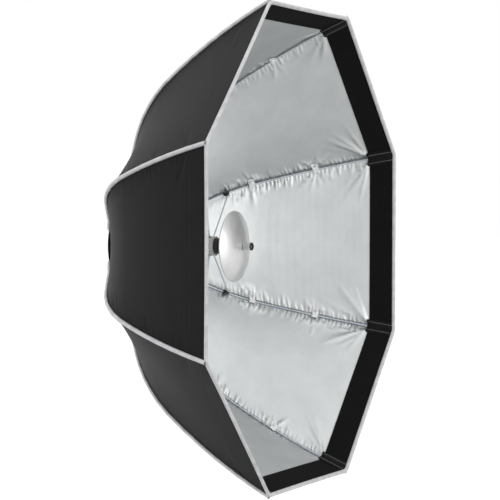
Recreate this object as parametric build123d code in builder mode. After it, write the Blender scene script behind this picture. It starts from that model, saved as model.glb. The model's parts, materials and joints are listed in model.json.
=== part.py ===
"""Quick-folding octabox, 90 cm: a hinged eight-rib frame with struts, hub and deflector, and a canopy.

Frame: origin at the centre of the face that seats on the light, Y is the optical axis, the box
opens towards -Y, Z is up. "Radius" is measured from the Y axis and "forward" is distance along -Y.
"""

import os
from math import cos, pi, radians, sin

from build123d import *

os.makedirs("parts", exist_ok=True)

# ---------------------------------------------------------------- driving dimensions, mm
RIB_COUNT = 8
RIB_STEP = 360 / RIB_COUNT
FIRST_RIB_ANGLE = RIB_STEP / 2
HALF_STEP = RIB_STEP / 2

# rib profile in its own radial plane: a straight foot and three tangent arcs
HINGE_RADIUS = 70.0
HINGE_FORWARD = 12.0
RIB_HEADING = 21.6
RIB_FOOT_LENGTH = 30.0
RIB_ARCS = [(2250.0, 2.9), (290.0, 27.8), (1228.0, 11.3)]
ROD_RADIUS = 1.6
ROD_START = 10.0
ROD_FRONT_GAP = 7.0

# hinged foot of a rib
KNUCKLE_RADIUS = 4.4
KNUCKLE_WIDTH = 8.0
SOCKET_RADIUS = 3.8
SOCKET_LENGTH = 26.0
SOCKET_FIT = 0.03
SOCKET_FLOOR_GAP = 0.2

# canopy
CLOTH = 1.2
CLOTH_CLEARANCE = 2.6
CLOTH_KNUCKLE_CLEARANCE = 6.8
CLOTH_START = 4.0
CLOTH_SETTLED = 62.0
CLOTH_OVERHANG = 6.0
CLOTH_GAP = 0.4
HALF_GORE_REACH = 190.0
BAND_WIDTH = 48.0
BAND_INSIDE = 2.6
BAND_THICKNESS = 1.0

# clip on the rod that carries a strut
BRACKET_LENGTH = 12.0
BRACKET_BACK = -1.2
BRACKET_SHOULDER = 3.2
BRACKET_EAR_RADIUS = 2.9
BRACKET_CHEEK = 1.2
BRACKET_SLOT_FLOOR = 4.6
CLIP_FIT = 0.2
EYE_ROOM = 0.6
RIVET_RADIUS = 1.5
RIVET_HEAD_RADIUS = 2.1
RIVET_HEAD = 0.78
RIVET_FIT = 0.02

# struts
STRUT_STATION = 193.7
STRUT_STANDOFF = 8.0
STRUT_RADIUS = 1.3
STRUT_EYE_RADIUS = 2.8
STRUT_EYE_THICKNESS = 2.2
STRUT_FLAT = 7.0
STRUT_FLAT_WIDTH = 3.0
STRUT_TONGUE_RADIUS = 2.5
STRUT_ROD_INSET = 4.5
PIVOT_PIN_RADIUS = 1.0
PIVOT_PIN_PROUD = 0.3

# hub
HUB_PIVOT_RADIUS = 14.0
HUB_PIVOT_FORWARD = 166.0
HUB_RADIUS = 17.5
HUB_CORE_RADIUS = 6.0
HUB_REAR = 161.0
HUB_CHAMFER = 1.0
HUB_NOTCH_FRONT = 175.5
HUB_NOTCH_WIDTH = 8.6
HUB_NOTCH_REACH = 20.0
HUB_FLANGE_FRONT = 182.0
CAP_RADIUS = 14.2
CAP_FRONT = 192.5
CAP_CHAMFER = 1.2
CAP_FIT = 0.1
HUB_SCREW_CIRCLE = 10.2
HUB_SCREW_RADIUS = 1.0
HUB_SCREW_HEAD_RADIUS = 2.2
HUB_SCREW_HEAD = 1.4
HUB_SCREW_LENGTH = 15.0

# deflector and the stud that carries it
STUD_RADIUS = 4.0
STUD_ROOT_RADIUS = 3.0
STUD_ROOT_LENGTH = 16.5
STUD_FIT = 0.3
DISH_SEAT = 229.0
DISH_RADIUS = 63.3
DISH_RIM_FORWARD = 217.7
DISH_DEPTH = 15.5
DISH_WALL = 1.0
DISH_BEAD_RADIUS = 1.0
DISH_BOSS_RADIUS = 9.0
DISH_COLLAR_RADIUS = 8.0
NUT_REAR = 236.0
NUT_FRONT = 250.0
NUT_TIP = 252.4
NUT_RADIUS = 6.8
NUT_CHAMFER = 0.6
KNURL_COUNT = 20
KNURL_RADIUS = 0.6
KNURL_CENTRE = 0.25
KNURL_MARGIN = 2.0
RIM_INSIDE = 5.0
RIM_LIP = 0.3
RIM_PROUD = 0.3
RIM_CHAMFER = 0.5

# ring and light mount
BORE_RADIUS = 46.0
TUBE_RADIUS = 49.0
TUBE_REAR = -5.0
TUBE_FRONT = 22.0
FLANGE_RADIUS = 60.0
FLANGE_THICKNESS = 2.5
LUG_COUNT = 3
LUG_RADIUS = 53.5
LUG_ROOT_RADIUS = 48.0
LUG_REAR = -5.0
LUG_FRONT = -2.0
LUG_ARC = 42.0
RING_RADIUS = 62.0
RING_FRONT = 20.0
RING_CHAMFER = 2.0
RING_FIT = 0.2
FACE_FIT = 0.05
EAR_GAP = 8.6
EAR_THICKNESS = 2.5
EAR_RADIUS = 5.0
EAR_ROOT_DEPTH = 4.0
HINGE_PIN_RADIUS = 1.5
HINGE_PIN_PROUD = 0.6
RUNNING = 0.05
SCREW_COUNT = 4
SCREW_CIRCLE = 55.0
SCREW_RADIUS = 1.98
SCREW_FIT = 0.04
SCREW_LENGTH = 12.0
SCREW_HEAD_RADIUS = 3.1
SCREW_HEAD = 1.1
SCREW_HEAD_SLOPE = 44
COUNTERSINK_RADIUS = 3.4

# collar that closes the canopy round the ring
COLLAR_INSIDE = 62.3
COLLAR_OUTSIDE = 79.0
COLLAR_REAR = 1.2
COLLAR_RISE = 4.0
COLLAR_THICKNESS = 1.0


# ---------------------------------------------------------------- planes and the rib curve
def cross_plane(forward, facing=1):
    """Plane square to the axis at that distance forward, facing forward or, with -1, backward."""
    return Plane(origin=(0, -forward, 0), x_dir=(1, 0, 0), z_dir=(0, -facing, 0))


def radial_plane(angle, shift=0.0):
    """Plane through the optical axis: local X runs outwards at angle, local Y runs forward."""
    a = radians(angle)
    side = Vector(sin(a), 0, -cos(a))
    return Plane(origin=side * shift, x_dir=(cos(a), 0, sin(a)), z_dir=side)


def rib_angle(k):
    return FIRST_RIB_ANGLE + k * RIB_STEP


def rib_length():
    return RIB_FOOT_LENGTH + sum(radius * radians(turn) for radius, turn in RIB_ARCS)


def rib_frame(s):
    """Radius, forward and heading of the rib's centre line at distance s from its hinge pin."""
    heading = radians(RIB_HEADING)
    run = min(s, RIB_FOOT_LENGTH)
    radius = HINGE_RADIUS + run * cos(heading)
    forward = HINGE_FORWARD + run * sin(heading)
    left = s - run
    for bend, turn in RIB_ARCS:
        last = (bend, turn) == RIB_ARCS[-1]
        arc = left if last else min(left, bend * radians(turn))
        ahead = heading + arc / bend
        radius += bend * (sin(ahead) - sin(heading))
        forward += bend * (cos(heading) - cos(ahead))
        heading = ahead
        left -= arc
    return radius, forward, heading


def rib_point(s, outside=0.0):
    """Point in the rib's plane at distance s along it, moved outside towards the canopy."""
    radius, forward, heading = rib_frame(s)
    return radius + outside * sin(heading), forward - outside * cos(heading)


def cloth_clearance(s):
    """Distance from rib centre to the inner face of the cloth: more where it covers a knuckle."""
    ease = min(max((s - 2 * CLOTH_START) / (CLOTH_SETTLED - 2 * CLOTH_START), 0.0), 1.0)
    ease = ease * ease * (3 - 2 * ease)
    return CLOTH_KNUCKLE_CLEARANCE + ease * (CLOTH_CLEARANCE - CLOTH_KNUCKLE_CLEARANCE)


def cloth_outside(s):
    """Distance from rib centre to the outer face of the cloth."""
    return cloth_clearance(s) + CLOTH


def band_inside(s):
    """Distance from rib centre to the inner face of the band, which lies inside the rib."""
    return -BAND_INSIDE - BAND_THICKNESS


def band_outside(s):
    return -BAND_INSIDE


def save(part, name):
    part.label = name
    export_step(part, f"parts/{name}.step")


# ---------------------------------------------------------------- ring and light mount
with BuildPart() as bayonet_insert:
    with BuildSketch(radial_plane(0)):
        with BuildLine():
            Polyline(
                (BORE_RADIUS, TUBE_REAR),
                (TUBE_RADIUS, TUBE_REAR),
                (TUBE_RADIUS, 0),
                (FLANGE_RADIUS, 0),
                (FLANGE_RADIUS, FLANGE_THICKNESS),
                (TUBE_RADIUS, FLANGE_THICKNESS),
                (TUBE_RADIUS, TUBE_FRONT),
                (BORE_RADIUS, TUBE_FRONT),
                close=True,
            )
        make_face()
    revolve(axis=Axis.Y)
    for lug in range(LUG_COUNT):
        with BuildSketch(radial_plane(90 + 360 / LUG_COUNT * lug - LUG_ARC / 2)):
            with BuildLine():
                Polyline(
                    (LUG_ROOT_RADIUS, LUG_REAR),
                    (LUG_RADIUS, LUG_REAR),
                    (LUG_RADIUS, LUG_FRONT),
                    (LUG_ROOT_RADIUS, LUG_FRONT),
                    close=True,
                )
            make_face()
        revolve(axis=Axis.Y, revolution_arc=-LUG_ARC)
    with Locations(cross_plane(0, -1)):
        with PolarLocations(SCREW_CIRCLE, SCREW_COUNT, start_angle=45):
            CounterSinkHole(
                radius=SCREW_RADIUS + SCREW_FIT,
                counter_sink_radius=COUNTERSINK_RADIUS,
                depth=FLANGE_THICKNESS,
            )
save(bayonet_insert.part, "bayonet_insert")

with BuildPart() as insert_screws:
    for turn in range(SCREW_COUNT):
        with BuildSketch(cross_plane(0)):
            with PolarLocations(SCREW_CIRCLE, 1, start_angle=45 + 360 / SCREW_COUNT * turn):
                Circle(SCREW_HEAD_RADIUS)
        extrude(amount=SCREW_HEAD, taper=SCREW_HEAD_SLOPE)
    with BuildSketch(cross_plane(0)):
        with PolarLocations(SCREW_CIRCLE, SCREW_COUNT, start_angle=45):
            Circle(SCREW_RADIUS)
    extrude(amount=SCREW_LENGTH)
save(insert_screws.part, "insert_screws")

with BuildPart() as speed_ring:
    with BuildSketch(radial_plane(0)):
        with BuildLine():
            Polyline(
                (TUBE_RADIUS + RING_FIT, FLANGE_THICKNESS + FACE_FIT),
                (RING_RADIUS, FLANGE_THICKNESS + FACE_FIT),
                (RING_RADIUS, RING_FRONT - RING_CHAMFER),
                (RING_RADIUS - RING_CHAMFER, RING_FRONT),
                (TUBE_RADIUS + RING_FIT, RING_FRONT),
                close=True,
            )
        make_face()
    revolve(axis=Axis.Y)
    ear_root = RING_RADIUS - EAR_ROOT_DEPTH
    for k in range(RIB_COUNT):
        for side in (-1, 1):
            middle = side * (EAR_GAP + EAR_THICKNESS) / 2
            with BuildSketch(radial_plane(rib_angle(k), middle)):
                with Locations((HINGE_RADIUS, HINGE_FORWARD)):
                    Circle(EAR_RADIUS)
                with Locations(((ear_root + HINGE_RADIUS) / 2, HINGE_FORWARD)):
                    Rectangle(HINGE_RADIUS - ear_root, 2 * EAR_RADIUS)
                with Locations((HINGE_RADIUS, HINGE_FORWARD)):
                    Circle(HINGE_PIN_RADIUS, mode=Mode.SUBTRACT)
            extrude(amount=EAR_THICKNESS / 2, both=True)
    with Locations(cross_plane(FLANGE_THICKNESS, -1)):
        with PolarLocations(SCREW_CIRCLE, SCREW_COUNT, start_angle=45):
            Hole(radius=SCREW_RADIUS + SCREW_FIT, depth=SCREW_LENGTH)
save(speed_ring.part, "speed_ring")

with BuildPart() as rib_hinge_pins:
    for k in range(RIB_COUNT):
        with BuildSketch(radial_plane(rib_angle(k))):
            with Locations((HINGE_RADIUS, HINGE_FORWARD)):
                Circle(HINGE_PIN_RADIUS)
        extrude(amount=EAR_GAP / 2 + EAR_THICKNESS + HINGE_PIN_PROUD, both=True)
save(rib_hinge_pins.part, "rib_hinge_pins")

with BuildPart() as rear_collar:
    with BuildSketch(radial_plane(0)):
        with BuildLine():
            Polyline(
                (COLLAR_INSIDE, COLLAR_REAR),
                (COLLAR_OUTSIDE, COLLAR_REAR + COLLAR_RISE),
                (COLLAR_OUTSIDE, COLLAR_REAR + COLLAR_RISE + COLLAR_THICKNESS),
                (COLLAR_INSIDE, COLLAR_REAR + COLLAR_THICKNESS),
                close=True,
            )
        make_face()
    revolve(axis=Axis.Y)
save(rear_collar.part, "rear_collar")


# ---------------------------------------------------------------- one rib and what it carries
def make_knuckle(k):
    """Hinged foot: an eye on the hinge pin and a socket for the rod."""
    heading = radians(RIB_HEADING)
    plane = radial_plane(rib_angle(k))
    along = plane.from_local_coords(Vector(cos(heading), sin(heading), 0)) - plane.origin
    start = plane.from_local_coords(Vector(HINGE_RADIUS, HINGE_FORWARD, 0))
    with BuildPart() as knuckle:
        with BuildSketch(plane):
            with Locations((HINGE_RADIUS, HINGE_FORWARD)):
                Circle(KNUCKLE_RADIUS)
        extrude(amount=KNUCKLE_WIDTH / 2, both=True)
        with BuildSketch(Plane(origin=start, z_dir=along)):
            Circle(SOCKET_RADIUS)
        extrude(amount=SOCKET_LENGTH)
        socket_floor = start + along * (ROD_START - SOCKET_FLOOR_GAP)
        with BuildSketch(Plane(origin=socket_floor, z_dir=along)):
            Circle(ROD_RADIUS + SOCKET_FIT)
        extrude(amount=RIB_FOOT_LENGTH, mode=Mode.SUBTRACT)
        with BuildSketch(plane):
            with Locations((HINGE_RADIUS, HINGE_FORWARD)):
                Circle(HINGE_PIN_RADIUS + RUNNING)
        extrude(amount=KNUCKLE_WIDTH, both=True, mode=Mode.SUBTRACT)
    save(knuckle.part, f"rib_knuckle_{k + 1}")


def make_rod(k):
    """Round rod along the rib's centre line, from the knuckle's socket to the corner pocket."""
    plane = radial_plane(rib_angle(k))
    heading = RIB_HEADING
    with BuildPart() as rod:
        with BuildLine(plane) as path:
            end = Line(rib_point(ROD_START), rib_point(RIB_FOOT_LENGTH)) @ 1
            for bend, turn in RIB_ARCS:
                last = (bend, turn) == RIB_ARCS[-1]
                arc = turn - (ROD_FRONT_GAP / bend * 180 / pi if last else 0)
                local_start = plane.to_local_coords(end)
                piece = JernArc(
                    (local_start.X, local_start.Y),
                    (cos(radians(heading)), sin(radians(heading))),
                    bend,
                    arc,
                )
                end = piece @ 1
                heading += turn
        with BuildSketch(Plane(origin=path.line @ 0, z_dir=path.line % 0)):
            Circle(ROD_RADIUS)
        sweep(path=path.line)
    save(rod.part, f"rib_rod_{k + 1}")


def bracket_plane(k, shift=0.0):
    """Plane of rib k with its origin on the rod at the strut station and local X along the rod."""
    base = radial_plane(rib_angle(k))
    radius, forward, heading = rib_frame(STRUT_STATION)
    origin = base.from_local_coords(Vector(radius, forward, 0))
    along = base.from_local_coords(Vector(cos(heading), sin(heading), 0)) - base.origin
    return Plane(origin=origin + base.z_dir * shift, x_dir=along, z_dir=base.z_dir)


def make_bracket(k):
    """Clip that snaps on the rod, two ears for the strut's eye, and the rivet through them."""
    plane = bracket_plane(k)
    half_length = BRACKET_LENGTH / 2
    ear_gap = STRUT_EYE_THICKNESS + EYE_ROOM
    width = ear_gap + 2 * BRACKET_CHEEK
    with BuildPart() as bracket:
        with BuildSketch(plane):
            with BuildLine():
                Polyline(
                    (-half_length, BRACKET_BACK),
                    (half_length, BRACKET_BACK),
                    (half_length, BRACKET_SHOULDER),
                    (BRACKET_EAR_RADIUS, STRUT_STANDOFF),
                    (-BRACKET_EAR_RADIUS, STRUT_STANDOFF),
                    (-half_length, BRACKET_SHOULDER),
                    close=True,
                )
            make_face()
            with Locations((0, STRUT_STANDOFF)):
                Circle(BRACKET_EAR_RADIUS)
        extrude(amount=width / 2, both=True)
        with BuildSketch(plane):
            with Locations((0, BRACKET_SLOT_FLOOR + STRUT_STANDOFF / 2)):
                Rectangle(2 * BRACKET_LENGTH, STRUT_STANDOFF)
        extrude(amount=ear_gap / 2, both=True, mode=Mode.SUBTRACT)
        with BuildSketch(Plane(origin=plane.origin - plane.x_dir * BRACKET_LENGTH, z_dir=plane.x_dir)):
            Circle(ROD_RADIUS + CLIP_FIT)
        extrude(amount=2 * BRACKET_LENGTH, mode=Mode.SUBTRACT)
        with BuildSketch(plane):
            with Locations((0, STRUT_STANDOFF)):
                Circle(RIVET_RADIUS + RIVET_FIT)
        extrude(amount=width, both=True, mode=Mode.SUBTRACT)
        with BuildSketch(plane):
            with Locations((0, STRUT_STANDOFF)):
                Circle(RIVET_RADIUS)
        extrude(amount=(width + RIVET_HEAD) / 2, both=True)
        for side in (-1, 1):
            with BuildSketch(bracket_plane(k, side * (width + RIVET_HEAD) / 2)):
                with Locations((0, STRUT_STANDOFF)):
                    Circle(RIVET_HEAD_RADIUS)
            extrude(amount=RIVET_HEAD / 2 - RIVET_FIT, both=True)
    save(bracket.part, f"strut_bracket_{k + 1}")


def cloth_outline(start, end, inner, outer, count=9):
    """Closed outline of one gore's section, in the plane of the gore's middle."""
    squeeze = cos(radians(HALF_STEP))
    stations = [start + (end - start) * i / (count - 1) for i in range(count)]
    near = [rib_point(s, inner(s)) for s in stations]
    far = [rib_point(s, outer(s)) for s in stations]
    near = [(squeeze * radius, forward) for radius, forward in near]
    far = [(squeeze * radius, forward) for radius, forward in far]
    Spline(*near)
    Spline(*far)
    Line(near[0], far[0])
    Line(near[-1], far[-1])


def make_gore_halves(k, name, start, end, inner, outer, count=9):
    """The two half gores that meet at rib k, as one folded sheet."""
    rib = radial_plane(rib_angle(k))
    with BuildPart() as cloth:
        with BuildSketch(radial_plane(rib_angle(k) + HALF_STEP, CLOTH_GAP / 2)):
            with BuildLine():
                cloth_outline(start, end, inner, outer, count)
            make_face()
        extrude(amount=HALF_GORE_REACH)
        split(bisect_by=rib, keep=Keep.BOTTOM)
        mirror(about=rib)
    save(cloth.part, name)


def make_strut(k):
    """Thin rod with a flat eye at the bracket and a flat end with a cross pin in the hub."""
    base = radial_plane(rib_angle(k))
    outer = base.from_local_coords(Vector(*rib_point(STRUT_STATION, -STRUT_STANDOFF), 0))
    inner = base.from_local_coords(Vector(HUB_PIVOT_RADIUS, HUB_PIVOT_FORWARD, 0))
    length = (outer - inner).length
    along = (outer - inner).normalized()
    flat = Plane(origin=inner, x_dir=along, z_dir=base.z_dir)
    with BuildPart() as strut:
        with BuildSketch(flat):
            Circle(STRUT_TONGUE_RADIUS)
            with Locations((length, 0)):
                Circle(STRUT_EYE_RADIUS)
            with Locations((STRUT_FLAT / 2, 0), (length - STRUT_FLAT / 2, 0)):
                Rectangle(STRUT_FLAT, STRUT_FLAT_WIDTH)
            with Locations((length, 0)):
                Circle(RIVET_RADIUS + RUNNING, mode=Mode.SUBTRACT)
        extrude(amount=STRUT_EYE_THICKNESS / 2, both=True)
        with BuildSketch(Plane(origin=inner + along * STRUT_ROD_INSET, z_dir=along)):
            Circle(STRUT_RADIUS)
        extrude(amount=length - 2 * STRUT_ROD_INSET)
        with BuildSketch(flat):
            Circle(PIVOT_PIN_RADIUS)
        extrude(amount=STRUT_EYE_THICKNESS / 2 + PIVOT_PIN_PROUD, both=True)
    save(strut.part, f"strut_{k + 1}")


cloth_end = rib_length() + CLOTH_OVERHANG
for k in range(RIB_COUNT):
    make_knuckle(k)
    make_rod(k)
    make_bracket(k)
    make_strut(k)
    make_gore_halves(
        k,
        f"canopy_panel_{k + 1}",
        CLOTH_START,
        cloth_end,
        cloth_clearance,
        cloth_outside,
        13,
    )
    make_gore_halves(
        k,
        f"edge_band_{k + 1}",
        cloth_end - BAND_WIDTH,
        cloth_end - 1,
        band_inside,
        band_outside,
        3,
    )

# ---------------------------------------------------------------- hub
with BuildPart() as hub_runner:
    with BuildSketch(radial_plane(0)):
        with BuildLine():
            Polyline(
                (0, HUB_REAR),
                (HUB_RADIUS - HUB_CHAMFER, HUB_REAR),
                (HUB_RADIUS, HUB_REAR + HUB_CHAMFER),
                (HUB_RADIUS, HUB_FLANGE_FRONT - HUB_CHAMFER),
                (HUB_RADIUS - HUB_CHAMFER, HUB_FLANGE_FRONT),
                (HUB_CORE_RADIUS, HUB_FLANGE_FRONT),
                (HUB_CORE_RADIUS, CAP_FRONT - FACE_FIT),
                (0, CAP_FRONT - FACE_FIT),
                close=True,
            )
        make_face()
    revolve(axis=Axis.Y)
    for k in range(RIB_COUNT):
        with BuildSketch(radial_plane(rib_angle(k))):
            with Locations((HUB_CORE_RADIUS, HUB_NOTCH_FRONT)):
                Rectangle(HUB_NOTCH_REACH, HUB_NOTCH_REACH, align=(Align.MIN, Align.MAX))
        extrude(amount=HUB_NOTCH_WIDTH / 2, both=True, mode=Mode.SUBTRACT)
    with Locations(cross_plane(CAP_FRONT - FACE_FIT)):
        Hole(radius=STUD_ROOT_RADIUS + SOCKET_FIT, depth=STUD_ROOT_LENGTH + 1)
    with Locations(cross_plane(HUB_FLANGE_FRONT)):
        with PolarLocations(HUB_SCREW_CIRCLE, SCREW_COUNT):
            Hole(radius=HUB_SCREW_RADIUS + SCREW_FIT, depth=HUB_FLANGE_FRONT - HUB_NOTCH_FRONT - 1)
save(hub_runner.part, "hub_runner")

with BuildPart() as hub_cap:
    with BuildSketch(radial_plane(0)):
        with BuildLine():
            Polyline(
                (HUB_CORE_RADIUS + CAP_FIT, HUB_FLANGE_FRONT + FACE_FIT),
                (CAP_RADIUS, HUB_FLANGE_FRONT + FACE_FIT),
                (CAP_RADIUS, CAP_FRONT - CAP_CHAMFER),
                (CAP_RADIUS - CAP_CHAMFER, CAP_FRONT),
                (HUB_CORE_RADIUS + CAP_FIT, CAP_FRONT),
                close=True,
            )
        make_face()
    revolve(axis=Axis.Y)
    with Locations(cross_plane(CAP_FRONT)):
        with PolarLocations(HUB_SCREW_CIRCLE, SCREW_COUNT):
            Hole(radius=HUB_SCREW_RADIUS + SCREW_FIT, depth=HUB_SCREW_LENGTH)
save(hub_cap.part, "hub_cap")

with BuildPart() as hub_screws:
    with BuildSketch(cross_plane(CAP_FRONT)):
        with PolarLocations(HUB_SCREW_CIRCLE, SCREW_COUNT):
            Circle(HUB_SCREW_HEAD_RADIUS)
    extrude(amount=HUB_SCREW_HEAD)
    with BuildSketch(cross_plane(CAP_FRONT)):
        with PolarLocations(HUB_SCREW_CIRCLE, SCREW_COUNT):
            Circle(HUB_SCREW_RADIUS)
    extrude(amount=-HUB_SCREW_LENGTH)
save(hub_screws.part, "hub_screws")

with BuildPart() as hub_stud:
    with BuildSketch(radial_plane(0)):
        with BuildLine():
            Polyline(
                (0, CAP_FRONT - STUD_ROOT_LENGTH),
                (STUD_ROOT_RADIUS, CAP_FRONT - STUD_ROOT_LENGTH),
                (STUD_ROOT_RADIUS, CAP_FRONT),
                (HUB_CORE_RADIUS, CAP_FRONT),
                (HUB_CORE_RADIUS, DISH_SEAT),
                (STUD_RADIUS, DISH_SEAT),
                (STUD_RADIUS, NUT_FRONT),
                (0, NUT_FRONT),
                close=True,
            )
        make_face()
    revolve(axis=Axis.Y)
save(hub_stud.part, "hub_stud")

# ---------------------------------------------------------------- deflector
dish_sphere = (DISH_RADIUS**2 + DISH_DEPTH**2) / (2 * DISH_DEPTH)
dish_centre = DISH_RIM_FORWARD + DISH_DEPTH - dish_sphere


def dish_point(radius, wall=0.0):
    """Point of the dish's front face at radius, or of its back face a wall's thickness lower."""
    ball = dish_sphere - wall
    return radius, dish_centre + (ball * ball - radius * radius) ** 0.5


with BuildPart() as deflector_dish:
    hole = STUD_RADIUS + STUD_FIT
    bead_centre = DISH_RADIUS - DISH_BEAD_RADIUS
    half = DISH_RADIUS / 2
    with BuildSketch(radial_plane(0)):
        with BuildLine():
            ThreePointArc(dish_point(DISH_BOSS_RADIUS), dish_point(half), dish_point(bead_centre))
            Line(dish_point(bead_centre), dish_point(bead_centre, DISH_WALL))
            ThreePointArc(
                dish_point(bead_centre, DISH_WALL),
                dish_point(half, DISH_WALL),
                dish_point(DISH_BOSS_RADIUS, DISH_WALL),
            )
            Polyline(
                dish_point(DISH_BOSS_RADIUS, DISH_WALL),
                (DISH_BOSS_RADIUS, DISH_SEAT + STUD_FIT),
                (hole, DISH_SEAT + STUD_FIT),
                (hole, NUT_REAR - STUD_FIT),
                (DISH_COLLAR_RADIUS, NUT_REAR - STUD_FIT),
                dish_point(DISH_BOSS_RADIUS),
            )
        make_face()
    revolve(axis=Axis.Y)
    with BuildSketch(radial_plane(0)):
        with Locations(dish_point(bead_centre, DISH_WALL / 2)):
            Circle(DISH_BEAD_RADIUS)
    revolve(axis=Axis.Y)
save(deflector_dish.part, "deflector_dish")

with BuildPart() as deflector_nut:
    with BuildSketch(radial_plane(0)):
        with BuildLine():
            Polyline(
                (STUD_RADIUS + STUD_FIT, NUT_REAR),
                (NUT_RADIUS - NUT_CHAMFER, NUT_REAR),
                (NUT_RADIUS, NUT_REAR + NUT_CHAMFER),
                (NUT_RADIUS, NUT_FRONT),
                (STUD_RADIUS + STUD_FIT, NUT_FRONT),
                close=True,
            )
        make_face()
    revolve(axis=Axis.Y)
    with BuildSketch(cross_plane(NUT_REAR + KNURL_MARGIN)):
        with PolarLocations(NUT_RADIUS + KNURL_CENTRE, KNURL_COUNT):
            Circle(KNURL_RADIUS)
    extrude(amount=NUT_FRONT - NUT_REAR - 2 * KNURL_MARGIN, mode=Mode.SUBTRACT)
save(deflector_nut.part, "deflector_nut")

with BuildPart() as nut_rim:
    with BuildSketch(radial_plane(0)):
        with BuildLine():
            Polyline(
                (RIM_INSIDE, NUT_FRONT + FACE_FIT),
                (NUT_RADIUS + RIM_PROUD, NUT_FRONT + FACE_FIT),
                (NUT_RADIUS + RIM_PROUD, NUT_TIP - RIM_CHAMFER),
                (NUT_RADIUS + RIM_PROUD - RIM_CHAMFER, NUT_TIP),
                (RIM_INSIDE + RIM_LIP, NUT_TIP),
                (RIM_INSIDE, NUT_TIP - RIM_LIP),
                close=True,
            )
        make_face()
    revolve(axis=Axis.Y)
save(nut_rim.part, "nut_rim")
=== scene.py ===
"""Quick-folding octabox, 90 cm: the fabric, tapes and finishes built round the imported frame.

Sizes are in millimetres. In the frame of one rib, x runs along its hinge towards the next rib,
"radius" outwards from the optical axis and "forward" along -Y, and s is the distance along the rib
from its hinge pin. "lift" is the distance from the rib's centre line out towards the canopy.
"""

import json
from collections import namedtuple
from math import atan2, cos, pi, radians, sin, tan

import bpy
import numpy as np
from mathutils import Matrix, Vector


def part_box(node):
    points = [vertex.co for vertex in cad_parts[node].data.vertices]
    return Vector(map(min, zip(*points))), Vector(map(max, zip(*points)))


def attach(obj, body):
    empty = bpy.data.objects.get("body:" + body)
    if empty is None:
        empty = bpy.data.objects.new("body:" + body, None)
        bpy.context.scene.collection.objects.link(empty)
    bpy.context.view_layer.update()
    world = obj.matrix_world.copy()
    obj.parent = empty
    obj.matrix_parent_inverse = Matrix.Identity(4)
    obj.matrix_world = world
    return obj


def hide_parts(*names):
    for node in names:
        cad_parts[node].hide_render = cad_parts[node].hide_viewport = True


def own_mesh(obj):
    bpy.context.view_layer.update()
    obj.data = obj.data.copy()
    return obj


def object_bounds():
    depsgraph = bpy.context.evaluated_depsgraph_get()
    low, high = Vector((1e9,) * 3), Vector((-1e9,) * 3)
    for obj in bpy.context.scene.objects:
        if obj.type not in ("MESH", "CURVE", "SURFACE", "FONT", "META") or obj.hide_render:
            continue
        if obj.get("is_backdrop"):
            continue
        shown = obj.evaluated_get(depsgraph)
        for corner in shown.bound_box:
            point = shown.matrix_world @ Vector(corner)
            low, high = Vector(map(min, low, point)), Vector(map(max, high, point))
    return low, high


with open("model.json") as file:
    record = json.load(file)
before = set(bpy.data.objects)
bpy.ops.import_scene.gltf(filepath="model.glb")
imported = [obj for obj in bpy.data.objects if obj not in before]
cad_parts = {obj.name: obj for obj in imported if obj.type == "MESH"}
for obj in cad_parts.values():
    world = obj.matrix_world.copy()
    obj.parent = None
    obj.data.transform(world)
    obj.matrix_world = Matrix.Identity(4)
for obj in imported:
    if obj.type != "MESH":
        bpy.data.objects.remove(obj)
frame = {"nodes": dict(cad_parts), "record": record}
cad_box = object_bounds()

# ---------------------------------------------------------------- driving dimensions, mm
MM = 0.001
RIBS = range(1, 9)
RIB_STEP = 45.0
HALF_TAN = tan(radians(RIB_STEP / 2))
HALF_COS = cos(radians(RIB_STEP / 2))
HINGE_RADIUS = 70.0
HINGE_FORWARD = 12.0
RIB_HEADING = 21.6
RIB_FOOT = 30.0
RIB_ARCS = [(2250.0, 2.9), (290.0, 27.8), (1228.0, 11.3)]
RIB_LENGTH = RIB_FOOT + sum(bend * radians(turn) for bend, turn in RIB_ARCS)
CLOTH_START = 4.0
CLOTH_END = RIB_LENGTH + 6.0
CLOTH_INSIDE = 2.6
CLOTH_OVER_KNUCKLE = 6.8
CLOTH_SETTLED = 62.0
CLOTH_THICKNESS = 1.2
CREASE_RADIUS = 3.0
ROD_RADIUS = 1.6
COLLAR_INSIDE = 62.6
COLLAR_THICKNESS = 1.0
COLLAR_GIRTH = 36.0

# what is sewn to the cloth's inside: its lifts are from the cloth's inner face
BAND_WIDTH = 48.0
BAND_START = CLOTH_END - BAND_WIDTH
BAND_OUTER = -0.3
BAND_INNER = -1.4
HEM_LINES = (BAND_START + 2.0, CLOTH_END - 7.0)
POCKET_START = BAND_START - 4
POCKET_END = CLOTH_END - 5
POCKET_HALF = 12.5
POCKET_OUTER = -1.5
POCKET_INNER = -2.6
TAB_STATIONS = (250.0, 378.0)
TAB_WIDTH = 12.0
TAB_ENDS = (-5.5, 15.0)
TAB_OUTER = -0.2
TAB_INNER = -1.1
TAB_STUD = 9.0
ALLOWANCE_START = 66.0
ALLOWANCE_X = 2.2
ALLOWANCE_OUTER = -0.15
ALLOWANCE_INNER = -0.75

# share of the creases' height that each layer follows; the inside of the cloth follows all of it
OUTSIDE_CREASED = 0.3
BAND_CREASED = 0.12
TAB_CREASED = 0.8

# how the cloth beside a rib flattens towards it as the ribs fold together
FOLD_TILT = radians(24.0)
FOLD_START = 28.0

# the pale floor, metres: painted shade keeps it grey round its middle, which lies between the
# camera and the object, and it turns white between two distances from that middle
FLOOR_DROP = 0.35
FLOOR_REACH = 40.0
FLOOR_SIDES = 96
FLOOR_MIDDLE = (-1.2, -1.0, 0.0)
FLOOR_EASE = (2.1, 3.3)

# the sky: brighter upwards, and dimmer round one direction, by the cosine of the angle to it
SKY_LIGHT = 1.12
SKY_RISE = 0.15
DIM_SIDE = (0.88, -0.46, -0.10)
DIM_EASE = (0.6, 0.97)
DIM_LIGHT = 0.30

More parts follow.
